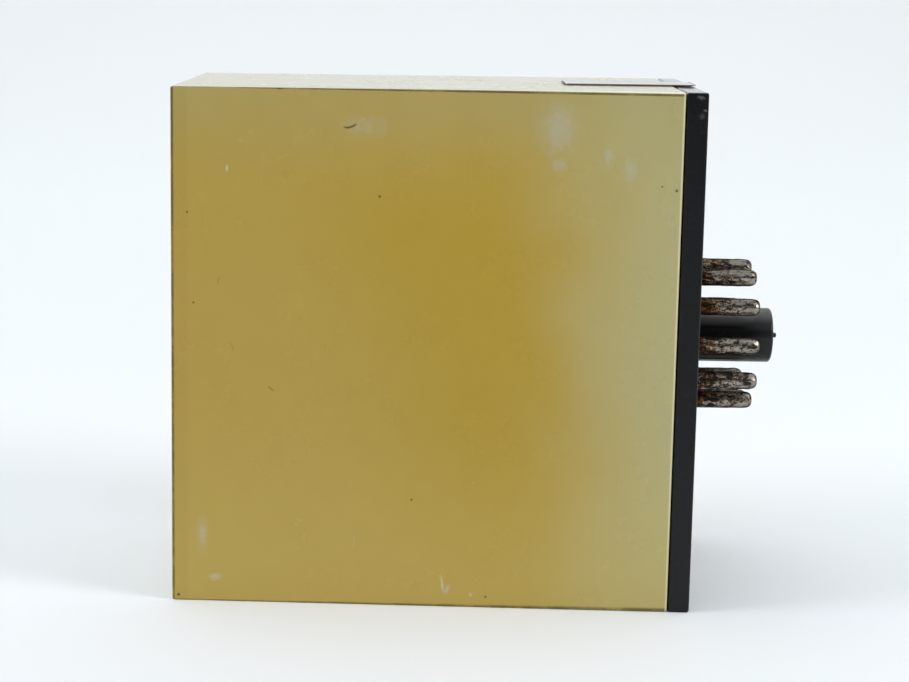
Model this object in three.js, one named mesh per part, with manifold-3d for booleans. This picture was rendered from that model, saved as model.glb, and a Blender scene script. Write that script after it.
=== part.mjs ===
// A two-pole solid state relay in a plug-in housing, in millimetres, +Z up.
// The module stands on a narrow side. Its front faces -Y and its 11-pin plug points along +Y.
// The origin is the middle of the bottom of the whole outline.

import * as THREE from 'three';
import { mergeVertices } from 'three/addons/utils/BufferGeometryUtils.js';
import Module from 'manifold-3d';

// ------------------------------------------------------------ driving dimensions

const WIDTH = 40;
const HEIGHT = 70;
const HOUSING_DEPTH = 70;          // front face to the rear face of the base
const BASE_THICKNESS = 2.85;
const SEAM_GAP = 0.15;             // joint between cover and base
const FRONT_NARROWING = 0.85;      // mould draft: the front is this much narrower than the rear
const FRONT_SHORTENING = 0.88;     // and this much lower
const WALL = 1.8;
const FRONT_WALL = 2;
const FIT = 0.3;                   // clearance where one piece fits inside another
const TOUCH = 0.1;                 // gap between two flat faces that lie on each other
const BITE = 0.5;                  // how far a feature runs into the piece that it is moulded on

const PIN_COUNT = 11;
const PIN_CIRCLE = 19.05;
const PIN_DIAMETER = 2.4;
const PIN_LENGTH = 9.6;            // proud of the base's rear face
const POST_DIAMETER = 7.7;
const POST_LENGTH = 12.55;
const GATE_NUB = 0.75;             // stub of the moulding gate at the middle of the post's end
const KEY_ANGLE = -90;             // degrees from +Z towards +X: the key points along -X

const BOARD_FACE_X = -10.4;        // the side of the board that carries the components
const BOARD_THICKNESS = 1.6;
const CHANNEL_OFFSET = 12;         // the two output channels lie this far above and below the axis
const CHANNELS = [[1, 1], [2, -1]]; // number of the channel, and its side of the axis

// ------------------------------------------------------------ derived places

const FRONT_Y = -(HOUSING_DEPTH + POST_LENGTH + GATE_NUB) / 2;
const REAR_Y = FRONT_Y + HOUSING_DEPTH;
const BASE_Y = REAR_Y - BASE_THICKNESS;
const COVER_REAR_Y = BASE_Y - SEAM_GAP;
const COVER_DEPTH = COVER_REAR_Y - FRONT_Y;
const AXIS_Z = HEIGHT / 2;
const DRAFT_ANGLE = Math.atan(FRONT_SHORTENING / 2 / COVER_DEPTH);
const INNER_HALF_WIDTH = WIDTH / 2 - WALL;
const INNER_HALF_HEIGHT = HEIGHT / 2 - WALL;
const BOARD_BACK_X = BOARD_FACE_X - BOARD_THICKNESS;
const SOLDER_X = BOARD_FACE_X + TOUCH;   // where leads end, on the board's face

// ------------------------------------------------------------ geometry helpers

const wasm = await Module();
wasm.setup();

function toSolid(geometry) {
  const bare = geometry.index ? geometry.toNonIndexed() : geometry.clone();
  bare.deleteAttribute('normal');
  bare.deleteAttribute('uv');
  const welded = mergeVertices(bare, 1e-4);
  return new wasm.Manifold(new wasm.Mesh({
    numProp: 3,
    vertProperties: new Float32Array(welded.attributes.position.array),
    triVerts: new Uint32Array(welded.index.array),
  }));
}

function toGeometry(solid) {
  const mesh = solid.getMesh();
  const geometry = new THREE.BufferGeometry();
  geometry.setAttribute('position', new THREE.BufferAttribute(new Float32Array(mesh.vertProperties), 3));
  geometry.setIndex(new THREE.BufferAttribute(new Uint32Array(mesh.triVerts), 1));
  geometry.computeVertexNormals();
  return geometry;
}

function fuse(...geometries) {
  return toGeometry(geometries.map(toSolid).reduce((whole, piece) => whole.add(piece)));
}

function carve(body, ...tools) {
  return toGeometry(tools.map(toSolid).reduce((rest, tool) => rest.subtract(tool), toSolid(body)));
}

// A box between two corners, given in either order on each axis.
function block(xa, xb, ya, yb, za, zb) {
  const box = new THREE.BoxGeometry(Math.abs(xb - xa), Math.abs(yb - ya), Math.abs(zb - za));
  return box.translate((xa + xb) / 2, (ya + yb) / 2, (za + zb) / 2);
}

// A box whose front end is narrower and lower than its rear end, as a drafted moulding is.
function draftedBlock(frontY, rearY, rearWidth, rearHeight) {
  const box = new THREE.BoxGeometry(rearWidth, rearY - frontY, rearHeight);
  const corners = box.attributes.position;
  for (let i = 0; i < corners.count; i += 1) {
    if (corners.getY(i) < 0) {
      corners.setX(i, corners.getX(i) - Math.sign(corners.getX(i)) * FRONT_NARROWING / 2);
      corners.setZ(i, corners.getZ(i) - Math.sign(corners.getZ(i)) * FRONT_SHORTENING / 2);
    }
  }
  return box.translate(0, (frontY + rearY) / 2, AXIS_Z);
}

// A solid of revolution about the Y axis; points are [radius, y], and the profile closes on the axis.
function turned(points, sides = 20) {
  return new THREE.LatheGeometry(points.map(([radius, y]) => new THREE.Vector2(radius, y)), sides);
}

function rodY(diameter, y0, y1, sides = 20) {
  return turned([[0, y0], [diameter / 2, y0], [diameter / 2, y1], [0, y1]], sides);
}

// Lays a piece that was made along Y along X instead.
function alongX(geometry) {
  return geometry.rotateZ(-Math.PI / 2);
}

// Lays a piece that was made along Y along Z instead.
function alongZ(geometry) {
  return geometry.rotateX(Math.PI / 2);
}

function hexPrismY(acrossFlats, y0, y1) {
  return rodY(acrossFlats / Math.cos(Math.PI / 6), y0, y1, 6);
}

// A rounded rectangle in the XY plane, as thick as stated along Z, centred on the origin.
function roundedPlate(width, length, thickness, radius) {
  const x = width / 2;
  const y = length / 2;
  const shape = new THREE.Shape();
  shape.moveTo(x - radius, -y);
  shape.absarc(x - radius, radius - y, radius, -Math.PI / 2, 0);
  shape.absarc(x - radius, y - radius, radius, 0, Math.PI / 2);
  shape.absarc(radius - x, y - radius, radius, Math.PI / 2, Math.PI);
  shape.absarc(radius - x, radius - y, radius, Math.PI, 1.5 * Math.PI);
  const plate = new THREE.ExtrudeGeometry(shape, { depth: thickness, bevelEnabled: false, curveSegments: 4 });
  return plate.translate(0, 0, -thickness / 2);
}

// A round wire with straight runs between the points and a rounded bend at each inner point.
function bentWire(points, diameter, bend, steps, sides = 6) {
  const corners = points.map((point) => new THREE.Vector3(...point));
  const path = new THREE.CurvePath();
  let from = corners[0];
  for (let i = 1; i < corners.length - 1; i += 1) {
    const corner = corners[i];
    const before = corners[i - 1].clone().sub(corner).setLength(bend).add(corner);
    const after = corners[i + 1].clone().sub(corner).setLength(bend).add(corner);
    path.add(new THREE.LineCurve3(from, before));
    path.add(new THREE.QuadraticBezierCurve3(before, corner, after));
    from = after;
  }
  path.add(new THREE.LineCurve3(from, corners[corners.length - 1]));
  const ring = Array.from({ length: sides }, (_, i) => {
    const angle = 2 * Math.PI * i / sides;
    return new THREE.Vector2(Math.cos(angle), Math.sin(angle)).multiplyScalar(diameter / 2);
  });
  return new THREE.ExtrudeGeometry(new THREE.Shape(ring), { steps, extrudePath: path });
}

// ------------------------------------------------------------ materials

function finish(color, roughness, metalness = 0) {
  return () => new THREE.MeshStandardMaterial({ color, roughness, metalness });
}

const creamPlastic = finish(0xa78e3c, 0.5);
const blackPlastic = finish(0x1c1c1c, 0.4);
const tinnedBrass = finish(0x8d8370, 0.35, 1);
const zincSteel = finish(0xa9a9a4, 0.35, 1);
const paper = finish(0xe6e4e0, 0.7);
const redLens = finish(0xb51c17, 0.15);
const boardLaminate = finish(0x2f5b33, 0.5);
const aluminium = finish(0xb9bcbe, 0.4, 1);
const blackEpoxy = finish(0x151517, 0.5);
const greySilicone = finish(0x8c8f90, 0.8);
const resistorCoat = finish(0xb99f74, 0.55);
const filmBox = finish(0xa8271f, 0.45);
const varistorCoat = finish(0x1f5a96, 0.45);
const canSleeve = finish(0x23305a, 0.3);
const redWire = finish(0xa51d1d, 0.5);
const blackWire = finish(0x1b1b1b, 0.5);

const relay = new THREE.Group();

function add(name, material, geometry) {
  const mesh = new THREE.Mesh(geometry, material());
  mesh.name = name;
  relay.add(mesh);
}

// ------------------------------------------------------------ cover

const LENS_Z = AXIS_Z + 28;
const LENS_DIAMETER = 6;
const LABEL_WIDTH = 31;
const LABEL_HEIGHT = 44;
const LABEL_Z = AXIS_Z - 4;
const LABEL_RECESS = 0.35;
const PAPER_THICKNESS = 0.15;
const SCREW_OFFSET = 30;           // base screws, above and below the axis
const BOSS_WIDTH = 7;
const BOSS_LENGTH = 17;
const BOSS_INNER_OFFSET = 26.8;
const PILOT_DIAMETER = 3.5;
const PILOT_DEPTH = 14;
const BOARD_HALF_HEIGHT = 32.4;
const BOARD_FRONT_Y = FRONT_Y + FRONT_WALL + FIT;
const BOARD_REAR_Y = 14.2;
const RIB_THICKNESS = 1.4;
const RIB_INNER_OFFSET = 30;       // the ribs reach in to this distance from the axis

function makeCover() {
  const outside = draftedBlock(FRONT_Y, COVER_REAR_Y, WIDTH, HEIGHT);
  const hollow = draftedBlock(FRONT_Y + FRONT_WALL, COVER_REAR_Y + BITE, 2 * INNER_HALF_WIDTH,
    2 * INNER_HALF_HEIGHT);
  const additions = [];
  const cuts = [];
  for (const side of [1, -1]) {
    const wallZ = AXIS_Z + side * (INNER_HALF_HEIGHT + BITE);
    const bossY = COVER_REAR_Y - FIT;
    additions.push(block(-BOSS_WIDTH / 2, BOSS_WIDTH / 2, bossY - BOSS_LENGTH, bossY,
      AXIS_Z + side * BOSS_INNER_OFFSET, wallZ));
    for (const ribX of [BOARD_BACK_X - FIT - RIB_THICKNESS, BOARD_FACE_X + FIT]) {
      additions.push(block(ribX, ribX + RIB_THICKNESS, FRONT_Y + FRONT_WALL - BITE, BOARD_REAR_Y - 2,
        AXIS_Z + side * RIB_INNER_OFFSET, wallZ));
    }
    cuts.push(rodY(PILOT_DIAMETER, bossY - PILOT_DEPTH, bossY + BITE, 12)
      .translate(0, 0, AXIS_Z + side * SCREW_OFFSET));
  }
  cuts.push(rodY(LENS_DIAMETER + 2 * FIT, FRONT_Y - BITE, FRONT_Y + FRONT_WALL + BITE)
    .translate(0, 0, LENS_Z));
  cuts.push(block(-LABEL_WIDTH / 2 - FIT, LABEL_WIDTH / 2 + FIT, FRONT_Y - BITE, FRONT_Y + LABEL_RECESS,
    LABEL_Z - LABEL_HEIGHT / 2 - FIT, LABEL_Z + LABEL_HEIGHT / 2 + FIT));
  return carve(fuse(carve(outside, hollow), ...additions), ...cuts);
}

add('cover', creamPlastic, makeCover());

// The lens sits in the front wall, with its flange behind it.
function makeLens() {
  const flangeRadius = LENS_DIAMETER / 2 + 1.2;
  const flangeY = FRONT_Y + FRONT_WALL + TOUCH;
  return turned([
    [0, FRONT_Y + 0.05],
    [LENS_DIAMETER / 4, FRONT_Y + 0.12],
    [LENS_DIAMETER / 2, FRONT_Y + 0.4],
    [LENS_DIAMETER / 2, flangeY],
    [flangeRadius, flangeY],
    [flangeRadius, flangeY + 0.9],
    [0, flangeY + 0.9],
  ]).translate(0, 0, LENS_Z);
}

add('indicator_lens', redLens, makeLens());

function makeFrontLabel() {
  return roundedPlate(LABEL_WIDTH, LABEL_HEIGHT, PAPER_THICKNESS, 1.5)
    .rotateX(Math.PI / 2)
    .translate(0, FRONT_Y + LABEL_RECESS - TOUCH - PAPER_THICKNESS / 2, LABEL_Z);
}

add('front_label', paper, makeFrontLabel());

// ------------------------------------------------------------ base plate with the plug's key post

const RIM_THICKNESS = 1.6;
const RIM_LENGTH = 5;
const PIN_PAD_DIAMETER = 26;       // thicker disc inside the base that holds the pins
const PIN_PAD_THICKNESS = 2;
const SCREW_HEAD_DIAMETER = 5.8;
const SCREW_DIAMETER = 2.9;
const SCREW_LENGTH = 14;
const SCREW_SINK = 0.2;            // the heads lie this far below the rear face
const KEY_WIDTH = 1.9;
const KEY_HEIGHT = 1.2;

const PIN_STEP = 360 / PIN_COUNT;

// Pins are numbered clockwise as seen from the plug's end, and the key lies between the last and the first.
function pinPlace(number) {
  const angle = THREE.MathUtils.degToRad(KEY_ANGLE - (number - 0.5) * PIN_STEP);
  return { x: Math.sin(angle) * PIN_CIRCLE / 2, z: AXIS_Z + Math.cos(angle) * PIN_CIRCLE / 2 };
}

function eachPin(make) {
  return Array.from({ length: PIN_COUNT }, (_, i) => make(i + 1, pinPlace(i + 1)));
}

function makePost() {
  const radius = POST_DIAMETER / 2;
  const end = REAR_Y + POST_LENGTH;
  const post = turned([
    [0, REAR_Y - BITE],
    [radius, REAR_Y - BITE],
    [radius, end - 0.8],
    [radius - 0.15, end - 0.45],
    [radius - 0.5, end - 0.25],
    [radius / 2, end - 0.08],
    [0.5, end],
    [0.4, end + GATE_NUB],
    [0, end + GATE_NUB],
  ], 24);
  const key = block(-KEY_WIDTH / 2, KEY_WIDTH / 2, REAR_Y - BITE, end - 0.8, 0, radius + KEY_HEIGHT)
    .rotateY(THREE.MathUtils.degToRad(KEY_ANGLE));
  return fuse(post, key).translate(0, 0, AXIS_Z);
}

function makeRim() {
  const x = INNER_HALF_WIDTH - FIT;
  const z = INNER_HALF_HEIGHT - FIT;
  const rimY = BASE_Y - RIM_LENGTH;
  const inX = x - RIM_THICKNESS;
  const inZ = z - RIM_THICKNESS;
  const notch = BOSS_WIDTH / 2 + FIT;
  return carve(
    block(-x, x, rimY, BASE_Y + BITE, AXIS_Z - z, AXIS_Z + z),
    block(-inX, inX, rimY - BITE, BASE_Y + 2 * BITE, AXIS_Z - inZ, AXIS_Z + inZ),
    block(-notch, notch, rimY - BITE, BASE_Y, AXIS_Z - z - BITE, AXIS_Z + z + BITE),
  );
}

function makeBase() {
  const flange = block(-WIDTH / 2, WIDTH / 2, BASE_Y, REAR_Y, 0, HEIGHT);
  const pinPad = rodY(PIN_PAD_DIAMETER, BASE_Y - PIN_PAD_THICKNESS, BASE_Y + BITE, 32).translate(0, 0, AXIS_Z);
  const boardStops = [1, -1].map((side) => block(BOARD_BACK_X - 1, BOARD_FACE_X + 1,
    BOARD_REAR_Y + FIT, BASE_Y + BITE, AXIS_Z + side * 24, AXIS_Z + side * 28));
  const pinHoles = eachPin((number, { x, z }) => rodY(PIN_DIAMETER + 2 * FIT,
    BASE_Y - PIN_PAD_THICKNESS - BITE, REAR_Y + BITE, 16).translate(x, 0, z));
  const screwHoles = [1, -1].map((side) => turned([
    [0, BASE_Y - BITE],
    [SCREW_DIAMETER / 2 + FIT, BASE_Y - BITE],
    [SCREW_DIAMETER / 2 + FIT, REAR_Y - 1.9],
    [SCREW_HEAD_DIAMETER / 2 + FIT, REAR_Y - SCREW_SINK],
    [SCREW_HEAD_DIAMETER / 2 + FIT, REAR_Y + BITE],
    [0, REAR_Y + BITE],
  ]).translate(0, 0, AXIS_Z + side * SCREW_OFFSET));
  return carve(fuse(flange, makeRim(), pinPad, ...boardStops, makePost()), ...pinHoles, ...screwHoles);
}

add('base_plate', blackPlastic, makeBase());

// ------------------------------------------------------------ plug pins

const PIN_BORE = 1.5;
const PIN_BORE_END_Y = REAR_Y + 7;
const PIN_FLANGE_RADIUS = 1.7;
const PIN_FLANGE_THICKNESS = 0.6;
const PIN_STUB = 1;                // tube that stands inwards past the flange

// A pin is a tube with a flange inside the base; its tip is closed by a dome of solder.
function makePin() {
  const radius = PIN_DIAMETER / 2;
  const flangeY = BASE_Y - PIN_PAD_THICKNESS - TOUCH;
  const innerY = flangeY - PIN_FLANGE_THICKNESS - PIN_STUB;
  const tip = REAR_Y + PIN_LENGTH;
  return turned([
    [0, PIN_BORE_END_Y],
    [PIN_BORE / 2, PIN_BORE_END_Y],
    [PIN_BORE / 2, innerY],
    [radius, innerY],
    [radius, innerY + PIN_STUB],
    [PIN_FLANGE_RADIUS, innerY + PIN_STUB],
    [PIN_FLANGE_RADIUS, flangeY],
    [radius, flangeY],
    [radius, tip - 0.9],
    [radius * 0.85, tip - 0.4],
    [radius * 0.5, tip - 0.1],
    [0, tip],
  ], 16);
}

eachPin((number, { x, z }) => add(`pin_${number}`, tinnedBrass, makePin().translate(x, 0, z)));

// ------------------------------------------------------------ screws and seal

function crossRecess(width, y0, y1) {
  const arm = 0.8;
  return [block(-width / 2, width / 2, y0, y1, -arm / 2, arm / 2),
    block(-arm / 2, arm / 2, y0, y1, -width / 2, width / 2)];
}

function makeBaseScrew() {
  const top = REAR_Y - SCREW_SINK;
  const screw = turned([
    [0, top - SCREW_LENGTH],
    [SCREW_DIAMETER / 2, top - SCREW_LENGTH + 2],
    [SCREW_DIAMETER / 2, top - 1.7],
    [SCREW_HEAD_DIAMETER / 2, top - 0.2],
    [SCREW_HEAD_DIAMETER / 2, top],
    [0, top],
  ]);
  return carve(screw, ...crossRecess(3.2, top - 0.9, top + BITE));
}

for (const [number, side] of CHANNELS) {
  add(`base_screw_${number}`, zincSteel, makeBaseScrew().translate(0, 0, AXIS_Z + side * SCREW_OFFSET));
}

const SEAL_WIDTH = 9;
const SEAL_FRONT_Y = FRONT_Y + 52;

// The seal lies on the cover's top, which slopes by the draft angle, and runs on over the base's edge.
function makeSeal() {
  const length = REAR_Y - SEAL_FRONT_Y;
  return roundedPlate(SEAL_WIDTH, length, PAPER_THICKNESS, 0.9)
    .translate(0, SEAL_FRONT_Y + length / 2 - COVER_REAR_Y, 0)
    .rotateX(DRAFT_ANGLE)
    .translate(0.5, COVER_REAR_Y, HEIGHT + TOUCH + PAPER_THICKNESS / 2);
}

add('seal_label', paper, makeSeal());

// ------------------------------------------------------------ circuit board and heat sink

const SINK_FRONT_Y = -34;
const SINK_REAR_Y = -6;
const SINK_THICKNESS = 2;
const SINK_FACE_X = 6;             // inner face of the plate that carries the triacs
const SINK_HALF_HEIGHT = 23;
const FOOT_INNER_OFFSET = 17;
const FOOT_SCREW_OFFSET = 18.9;
const FOOT_SCREW_Y = -20;
const MACHINE_SCREW_DIAMETER = 2.9;
const CLEAR_HOLE = MACHINE_SCREW_DIAMETER + 2 * FIT;

function holeAlongX(diameter, x0, x1, y, z) {
  return alongX(rodY(diameter, x0, x1, 12)).translate(0, y, z);
}

function makeBoard() {
  const board = block(BOARD_BACK_X, BOARD_FACE_X, BOARD_FRONT_Y, BOARD_REAR_Y,
    AXIS_Z - BOARD_HALF_HEIGHT, AXIS_Z + BOARD_HALF_HEIGHT);
  const holes = [1, -1].map((side) => holeAlongX(CLEAR_HOLE, BOARD_BACK_X - BITE, BOARD_FACE_X + BITE,
    FOOT_SCREW_Y, AXIS_Z + side * FOOT_SCREW_OFFSET));
  return carve(board, ...holes);
}

add('circuit_board', boardLaminate, makeBoard());

const TRIAC_HOLE_Y = -26;
const FOOT_X = BOARD_FACE_X + FIT;

// A channel bent from sheet: a plate, two legs towards the board, and a foot turned in at each leg's end.
function makeHeatSink() {
  const plate = block(SINK_FACE_X, SINK_FACE_X + SINK_THICKNESS, SINK_FRONT_Y, SINK_REAR_Y,
    AXIS_Z - SINK_HALF_HEIGHT, AXIS_Z + SINK_HALF_HEIGHT);
  const bent = [];
  const holes = [];
  for (const side of [1, -1]) {
    const outZ = AXIS_Z + side * SINK_HALF_HEIGHT;
    bent.push(block(FOOT_X, SINK_FACE_X + SINK_THICKNESS, SINK_FRONT_Y, SINK_REAR_Y,
      outZ, outZ - side * SINK_THICKNESS));
    bent.push(block(FOOT_X, FOOT_X + SINK_THICKNESS, SINK_FRONT_Y, SINK_REAR_Y,
      outZ, AXIS_Z + side * FOOT_INNER_OFFSET));
    holes.push(holeAlongX(CLEAR_HOLE, FOOT_X - BITE, FOOT_X + SINK_THICKNESS + BITE,
      FOOT_SCREW_Y, AXIS_Z + side * FOOT_SCREW_OFFSET));
    holes.push(holeAlongX(CLEAR_HOLE, SINK_FACE_X - BITE, SINK_FACE_X + SINK_THICKNESS + BITE,
      TRIAC_HOLE_Y, AXIS_Z + side * CHANNEL_OFFSET));
  }
  return carve(fuse(plate, ...bent), ...holes);
}

add('heat_sink', aluminium, makeHeatSink());

// A pan-head screw along -X with the underside of its head at x = 0.
function makeMachineScrew(length) {
  const headRadius = 2.8;
  const headHeight = 2;
  const screw = turned([
    [0, -length],
    [MACHINE_SCREW_DIAMETER / 2, -length],
    [MACHINE_SCREW_DIAMETER / 2, 0],
    [headRadius, 0],
    [headRadius, headHeight - 0.6],
    [headRadius - 0.8, headHeight],
    [0, headHeight],
  ], 16);
  return alongX(carve(screw, ...crossRecess(3, headHeight - 0.9, headHeight + BITE)));
}

for (const [number, side] of CHANNELS) {
  add(`heat_sink_screw_${number}`, zincSteel, makeMachineScrew(6)
    .rotateZ(Math.PI)
    .translate(BOARD_BACK_X - TOUCH, FOOT_SCREW_Y, AXIS_Z + side * FOOT_SCREW_OFFSET));
}

// ------------------------------------------------------------ triacs on the heat sink

const PAD_THICKNESS = 0.5;
const TAB_THICKNESS = 1.3;
const TAB_WIDTH = 10.2;
const CASE_LENGTH = 9.2;
const CASE_THICKNESS = 4.5;
const TAB_LENGTH = 6.3;
const TAB_FRONT_Y = TRIAC_HOLE_Y - 2.8;
const CASE_Y = TAB_FRONT_Y + TAB_LENGTH;
const LEAD_PITCH = 2.54;
const LEAD_END_Y = CASE_Y + CASE_LENGTH + 4;
const TAB_BACK_X = SINK_FACE_X - PAD_THICKNESS - 2 * TOUCH;
const NUT_THICKNESS = 2.4;
const NUT_FLATS = 5.5;

function makeTriac(z) {
  const tab = block(TAB_BACK_X - TAB_THICKNESS, TAB_BACK_X, TAB_FRONT_Y, CASE_Y + BITE,
    z - TAB_WIDTH / 2, z + TAB_WIDTH / 2);
  const body = block(TAB_BACK_X - CASE_THICKNESS, TAB_BACK_X, CASE_Y, CASE_Y + CASE_LENGTH,
    z - TAB_WIDTH / 2, z + TAB_WIDTH / 2);
  const leadX = TAB_BACK_X - 2.6;
  const leads = [-1, 0, 1].flatMap((step) => {
    const leadZ = z + step * LEAD_PITCH;
    return [
      block(leadX - 0.25, leadX + 0.25, CASE_Y + CASE_LENGTH - BITE, LEAD_END_Y, leadZ - 0.4, leadZ + 0.4),
      block(SOLDER_X, leadX + 0.25, LEAD_END_Y - 0.5, LEAD_END_Y, leadZ - 0.4, leadZ + 0.4),
    ];
  });
  const hole = holeAlongX(3.8, TAB_BACK_X - TAB_THICKNESS - BITE, TAB_BACK_X + BITE, TRIAC_HOLE_Y, z);
  return carve(fuse(tab, body, ...leads), hole);
}

function makeInsulatingPad(z) {
  const x = SINK_FACE_X - TOUCH;
  const sheet = block(x - PAD_THICKNESS, x, TAB_FRONT_Y - 1, CASE_Y + CASE_LENGTH + 1, z - 6.5, z + 6.5);
  return carve(sheet, holeAlongX(3.8, x - PAD_THICKNESS - BITE, x + BITE, TRIAC_HOLE_Y, z));
}

function makeTriacNut(z) {
  const x = TAB_BACK_X - TAB_THICKNESS - TOUCH;
  const nut = alongX(hexPrismY(NUT_FLATS, x - NUT_THICKNESS, x)).translate(0, TRIAC_HOLE_Y, z);
  return carve(nut, holeAlongX(CLEAR_HOLE, x - NUT_THICKNESS - BITE, x + BITE, TRIAC_HOLE_Y, z));
}

for (const [number, side] of CHANNELS) {
  const z = AXIS_Z + side * CHANNEL_OFFSET;
  add(`triac_${number}`, blackEpoxy, makeTriac(z));
  add(`insulating_pad_${number}`, greySilicone, makeInsulatingPad(z));
  add(`triac_screw_${number}`, zincSteel, makeMachineScrew(8)
    .translate(SINK_FACE_X + SINK_THICKNESS + TOUCH, TRIAC_HOLE_Y, z));
  add(`triac_nut_${number}`, zincSteel, makeTriacNut(z));
}

// ------------------------------------------------------------ small parts on the board

// A resistor along Z: a dumb-bell body and a lead bent down to the board at each end.
function makeAxialPart(bodyDiameter, bodyLength, leadSpan, y, z) {
  const x = BOARD_FACE_X + FIT + bodyDiameter / 2;
  const r = bodyDiameter / 2;
  const half = bodyLength / 2;
  const body = alongZ(turned([
    [0, -half],
    [r * 0.8, -half],
    [r, 0.3 - half],
    [r, bodyLength * 0.2 - half],
    [r * 0.9, bodyLength * 0.27 - half],
    [r * 0.9, half - bodyLength * 0.27],
    [r, half - bodyLength * 0.2],
    [r, half - 0.3],
    [r * 0.8, half],
    [0, half],
  ], 12)).translate(x, y, z);
  const leads = [1, -1].map((side) => bentWire([
    [x, y, z + side * (half - BITE)],
    [x, y, z + side * leadSpan / 2],
    [SOLDER_X, y, z + side * leadSpan / 2],
  ], 0.6, 0.8, 8));
  return fuse(body, ...leads);
}

function leadPost(y, z, topX) {
  return block(SOLDER_X, topX, y - 0.3, y + 0.3, z - 0.3, z + 0.3);
}

function makeOptocoupler(y, z) {
  const length = 8.9;
  const width = 6.4;
  const body = block(BOARD_FACE_X + 0.8, BOARD_FACE_X + 4.2, y - width / 2, y + width / 2,
    z - length / 2, z + length / 2);
  const legs = [1, -1].flatMap((side) => [-1, 0, 1].flatMap((step) => {
    const legZ = z + step * LEAD_PITCH;
    const outY = y + side * (width / 2 + 0.7);
    return [
      block(BOARD_FACE_X + 2.2, BOARD_FACE_X + 2.6, y + side * (width / 2 - BITE), outY, legZ - 0.5, legZ + 0.5),
      block(SOLDER_X, BOARD_FACE_X + 2.6, outY, outY - side * 0.35, legZ - 0.3, legZ + 0.3),
    ];
  }));
  return fuse(body, ...legs);
}

function makeFilmCapacitor(y, z) {
  const length = 13;
  const width = 6.5;
  const height = 11;
  const floorX = BOARD_FACE_X + 0.5;
  const body = block(floorX, floorX + height, y - length / 2, y + length / 2, z - width / 2, z + width / 2);
  return fuse(body, leadPost(y - 5, z, floorX + BITE), leadPost(y + 5, z, floorX + BITE));
}

function makeVaristor(y, z) {
  const diameter = 10;
  const thickness = 3.8;
  const centreX = BOARD_FACE_X + 1.5 + diameter / 2;
  const disc = alongZ(turned([
    [0, -thickness / 2],
    [diameter / 2 - 0.9, -thickness / 2],
    [diameter / 2, -thickness / 2 + 0.9],
    [diameter / 2, thickness / 2 - 0.9],
    [diameter / 2 - 0.9, thickness / 2],
    [0, thickness / 2],
  ], 16)).translate(centreX, y, z);
  return fuse(disc, leadPost(y - 2.5, z, centreX - 3.8), leadPost(y + 2.5, z, centreX - 3.8));
}

const OPTO_Y = -1.3;
const GATE_RESISTOR_Y = -7;
const SNUBBER_RESISTOR_Y = 6;
const SNUBBER_CAPACITOR_OFFSET = 24;
const SNUBBER_CAPACITOR_Y = 1;
const VARISTOR_OFFSET = 3;

for (const [number, side] of CHANNELS) {
  const z = AXIS_Z + side * CHANNEL_OFFSET;
  add(`optocoupler_${number}`, blackEpoxy, makeOptocoupler(OPTO_Y, z));
  add(`gate_resistor_${number}`, resistorCoat, makeAxialPart(2.4, 5.6, 8.6, GATE_RESISTOR_Y, z));
  add(`snubber_resistor_${number}`, resistorCoat, makeAxialPart(4.2, 10, 14, SNUBBER_RESISTOR_Y, z));
  add(`snubber_capacitor_${number}`, filmBox,
    makeFilmCapacitor(SNUBBER_CAPACITOR_Y, AXIS_Z + side * SNUBBER_CAPACITOR_OFFSET));
  add(`varistor_${number}`, varistorCoat, makeVaristor(0, AXIS_Z + side * VARISTOR_OFFSET));
}

// Round bridge rectifier: a short black barrel on four leads.
function makeBridge(y, z) {
  const diameter = 9;
  const floorX = BOARD_FACE_X + 1.8;
  const barrel = alongX(rodY(diameter, floorX, floorX + 5.5, 16)).translate(0, y, z);
  const leads = [0, 1, 2, 3].map((quarter) => {
    const angle = quarter * Math.PI / 2;
    return leadPost(y + 2.5 * Math.cos(angle), z + 2.5 * Math.sin(angle), floorX + BITE);
  });
  return fuse(barrel, ...leads);
}

function makeElectrolytic(y, z) {
  const radius = 4;
  const floorX = BOARD_FACE_X + 0.4;
  const can = alongX(turned([
    [0, floorX],
    [radius - 0.3, floorX],
    [radius, floorX + 0.4],
    [radius, floorX + 1.4],
    [radius - 0.3, floorX + 1.8],
    [radius, floorX + 2.2],
    [radius, floorX + 11],
    [radius - 0.4, floorX + 11.4],
    [0, floorX + 11.4],
  ], 16)).translate(0, y, z);
  return fuse(can, leadPost(y, z - 1.75, floorX + BITE), leadPost(y, z + 1.75, floorX + BITE));
}

// A small transistor: a round body with one flat side, standing on three leads.
function makeTransistor(y, z) {
  const floorX = BOARD_FACE_X + 2.5;
  const round = alongX(rodY(4.8, floorX, floorX + 4.6, 16)).translate(0, y, z);
  const body = carve(round, block(floorX - BITE, floorX + 5.1, y + 1.3, y + 3, z - 3, z + 3));
  return fuse(body, ...[-1, 0, 1].map((step) => leadPost(y, z + step * 1.27, floorX + BITE)));
}

add('bridge_rectifier', blackEpoxy, makeBridge(-29, AXIS_Z));
add('smoothing_capacitor', canSleeve, makeElectrolytic(-17, AXIS_Z));
add('regulator_transistor', blackEpoxy, makeTransistor(-36.6, AXIS_Z - 6));
add('input_resistor', resistorCoat, makeAxialPart(3.6, 9, 13, -36.6, AXIS_Z + 8));

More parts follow.
